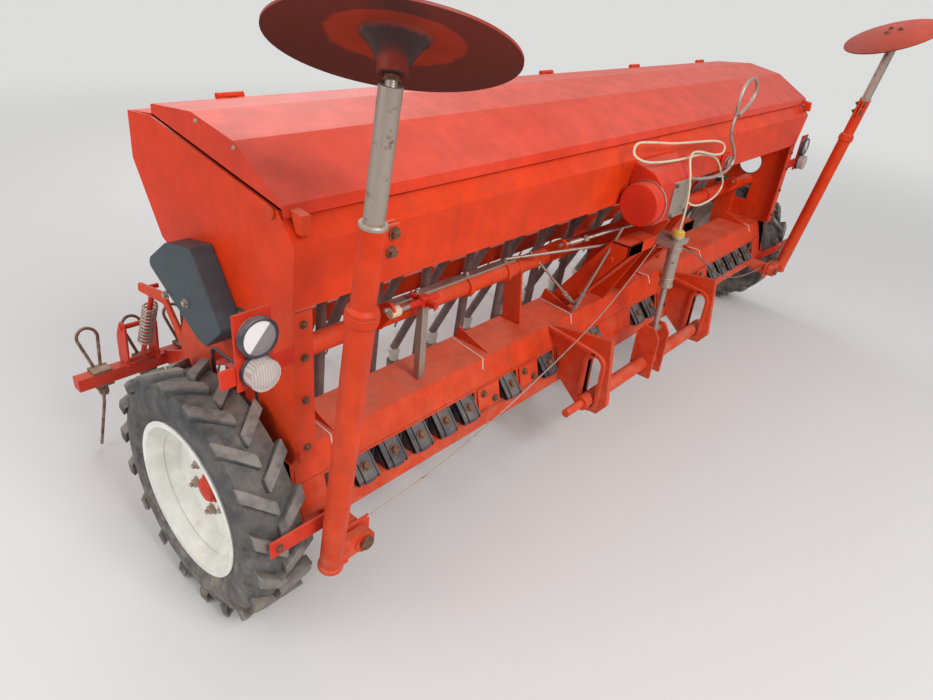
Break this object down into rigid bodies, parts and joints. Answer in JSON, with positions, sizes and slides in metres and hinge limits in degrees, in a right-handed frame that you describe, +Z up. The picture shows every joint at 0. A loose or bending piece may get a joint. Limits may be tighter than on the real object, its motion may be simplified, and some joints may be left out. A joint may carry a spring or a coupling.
{
  "type": "mounted seed drill",
  "caption": "Mounted seed drill: full-width hopper with hinged lid, two lugged drive wheels, rows of coulters, raised row markers and a following tine harrow.",
  "frame": {"origin": "on the ground below the middle of the machine's bounding box", "axes": "+X along the hopper to the end at the right as seen from the hitch, +Y to the rear, away from the tractor, +Z up"},
  "size_m": [3.5008, 1.5843, 1.5643],
  "materials": {
    "hopper_paint": "sun-faded orange-red paint with dust and scratches",
    "lid_paint": "sun-bleached orange-red paint",
    "frame_paint": "orange-red paint, chipped at the edges",
    "red_paint": "darker red paint, worn",
    "disc_paint": "rusty disc with worn red paint",
    "rim_paint": "cream white paint",
    "feed_grey": "dusty dark grey",
    "tube_plastic": "dusty grey-brown plastic",
    "white_plastic": "yellowed white plastic",
    "cover_plastic": "dark green-black",
    "lens": "clear ribbed lens",
    "reflector": "white and grey reflector",
    "block_rubber": "black moulded rubber",
    "arm_steel": "dark dusty steel",
    "worn_steel": "brown rusty worn steel",
    "bare_steel": "dull grey steel",
    "tyre": "dusty black rubber"
  },
  "bodies": {
    "chassis": {"hopper_shell": "hopper_paint", "hopper_ends": "hopper_paint", "metering_boxes": "feed_grey", "seed_tubes": "tube_plastic", "seed_funnels": "white_plastic", "side_plates": "frame_paint", "lamp_plates": "red_paint", "lamp_lenses": "lens", "reflectors": "reflector", "gear_cover": "cover_plastic", "main_beam": "frame_paint", "front_bar": "frame_paint", "hitch_plates": "frame_paint", "tower": "frame_paint", "tower_housing": "red_paint", "lift_cylinder": "bare_steel", "rockshaft": "frame_paint", "coulter_blocks": "block_rubber", "coulter_arms": "arm_steel", "coulters": "worn_steel", "rear_bar": "frame_paint", "harrow_pivots": "frame_paint", "wheel_legs": "frame_paint", "control_posts": "bare_steel", "crank_handle": "bare_steel", "marker_brackets": "frame_paint", "scraper_bars": "red_paint", "lid_hinges": "frame_paint"},
    "hopper_lid": {"lid": "lid_paint"},
    "wheel_left": {"tyre_left": "tyre", "rim_left": "rim_paint", "hub_cap_left": "red_paint"},
    "wheel_right": {"tyre_right": "tyre", "rim_right": "rim_paint", "hub_cap_right": "red_paint"},
    "marker_left": {"marker_arm_left": "frame_paint", "marker_tube_left": "bare_steel"},
    "marker_right": {"marker_arm_right": "frame_paint", "marker_tube_right": "bare_steel"},
    "disc_left": {"marker_disc_left": "disc_paint"},
    "disc_right": {"marker_disc_right": "disc_paint"},
    "hitch_slider": {"hitch_bar": "frame_paint", "hitch_channel": "frame_paint", "lift_rod": "bare_steel"},
    "harrow": {"harrow_frame": "red_paint", "harrow_tines": "worn_steel"}
  },
  "joints": [
    {"name": "lid_hinge", "type": "hinge", "parent": "chassis", "child": "hopper_lid", "pos_m": [0, 0.25, 1.236], "axis": [-1, 0, 0], "range_deg": [0, 100]},
    {"name": "wheel_left_spin", "type": "hinge", "parent": "chassis", "child": "wheel_left", "pos_m": [-1.59, 0, 0.333], "axis": [1, 0, 0], "continuous": true},
    {"name": "wheel_right_spin", "type": "hinge", "parent": "chassis", "child": "wheel_right", "pos_m": [1.59, 0, 0.333], "axis": [1, 0, 0], "continuous": true},
    {"name": "marker_left_fold", "type": "hinge", "parent": "chassis", "child": "marker_left", "pos_m": [-1.4, -0.375, 0.3], "axis": [0, -1, 0], "range_deg": [0, 84]},
    {"name": "marker_right_fold", "type": "hinge", "parent": "chassis", "child": "marker_right", "pos_m": [1.4, -0.375, 0.3], "axis": [0, 1, 0], "range_deg": [0, 84]},
    {"name": "disc_left_spin", "type": "hinge", "parent": "marker_left", "child": "disc_left", "pos_m": [-1.5, -0.5325, 1.405], "axis": [0.3304, 0.2588, 0.9077], "continuous": true},
    {"name": "disc_right_spin", "type": "hinge", "parent": "marker_right", "child": "disc_right", "pos_m": [1.5, -0.5325, 1.405], "axis": [-0.3304, 0.2588, 0.9077], "continuous": true},
    {"name": "hitch_slide", "type": "slide", "parent": "chassis", "child": "hitch_slider", "axis": [0, 0, 1], "range_m": [0, 0.14]},
    {"name": "harrow_lift", "type": "hinge", "parent": "chassis", "child": "harrow", "pos_m": [0, 0.22, 0.54], "axis": [1, 0, 0], "range_deg": [0, 25]}
  ]
}
